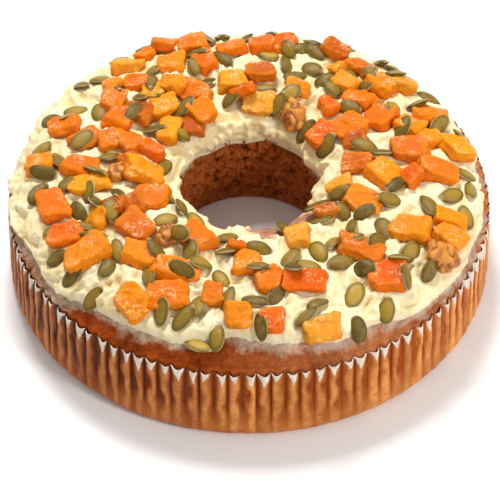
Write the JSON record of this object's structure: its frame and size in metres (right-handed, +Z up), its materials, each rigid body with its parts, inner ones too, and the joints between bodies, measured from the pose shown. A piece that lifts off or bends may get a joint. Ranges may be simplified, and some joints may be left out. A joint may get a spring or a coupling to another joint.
{
  "type": "carrot cake",
  "caption": "Ring-shaped cake in a pleated paper case, domed on top, spread with soft frosting and covered with diced dried fruit, flat seeds and nut pieces.",
  "frame": {"origin": "middle of the ring, on the surface that the cake stands on", "axes": "+Z up along the axis of the hole, -Y towards the side that is shown, +X to the right of that side"},
  "size_m": [0.2436, 0.2436, 0.0714],
  "materials": {
    "paper": "grease-soaked pleated baking paper, satin",
    "sponge": "coarse dark crumb, matt",
    "frosting": "soft cream cheese frosting, satin, with pumpkin seeds and scraps of fruit pressed in",
    "apricot": "diced dried apricot, glossy and a little translucent",
    "walnut": "broken walnut kernel, satin"
  },
  "bodies": {
    "root": {"paper_case": "paper", "sponge": "sponge", "frosting": "frosting", "walnut_1": "walnut", "walnut_2": "walnut", "walnut_3": "walnut", "walnut_4": "walnut", "apricot_1": "apricot", "apricot_2": "apricot", "apricot_3": "apricot", "apricot_4": "apricot", "apricot_5": "apricot", "apricot_6": "apricot", "apricot_7": "apricot", "apricot_8": "apricot", "apricot_9": "apricot", "apricot_10": "apricot", "apricot_11": "apricot", "apricot_12": "apricot", "apricot_13": "apricot", "apricot_14": "apricot", "apricot_15": "apricot", "apricot_16": "apricot", "apricot_17": "apricot", "apricot_18": "apricot", "apricot_19": "apricot", "apricot_20": "apricot", "apricot_21": "apricot", "apricot_22": "apricot", "apricot_23": "apricot", "apricot_24": "apricot", "apricot_25": "apricot", "apricot_26": "apricot", "apricot_27": "apricot", "apricot_28": "apricot", "apricot_29": "apricot", "apricot_30": "apricot", "apricot_31": "apricot", "apricot_32": "apricot", "apricot_33": "apricot", "apricot_34": "apricot", "apricot_35": "apricot", "apricot_36": "apricot", "apricot_37": "apricot", "apricot_38": "apricot", "apricot_39": "apricot", "apricot_40": "apricot", "apricot_41": "apricot", "apricot_42": "apricot", "apricot_43": "apricot", "apricot_44": "apricot", "apricot_45": "apricot", "apricot_46": "apricot", "apricot_47": "apricot", "apricot_48": "apricot", "apricot_49": "apricot", "apricot_50": "apricot", "apricot_51": "apricot", "apricot_52": "apricot", "apricot_53": "apricot"}
  },
  "joints": []
}
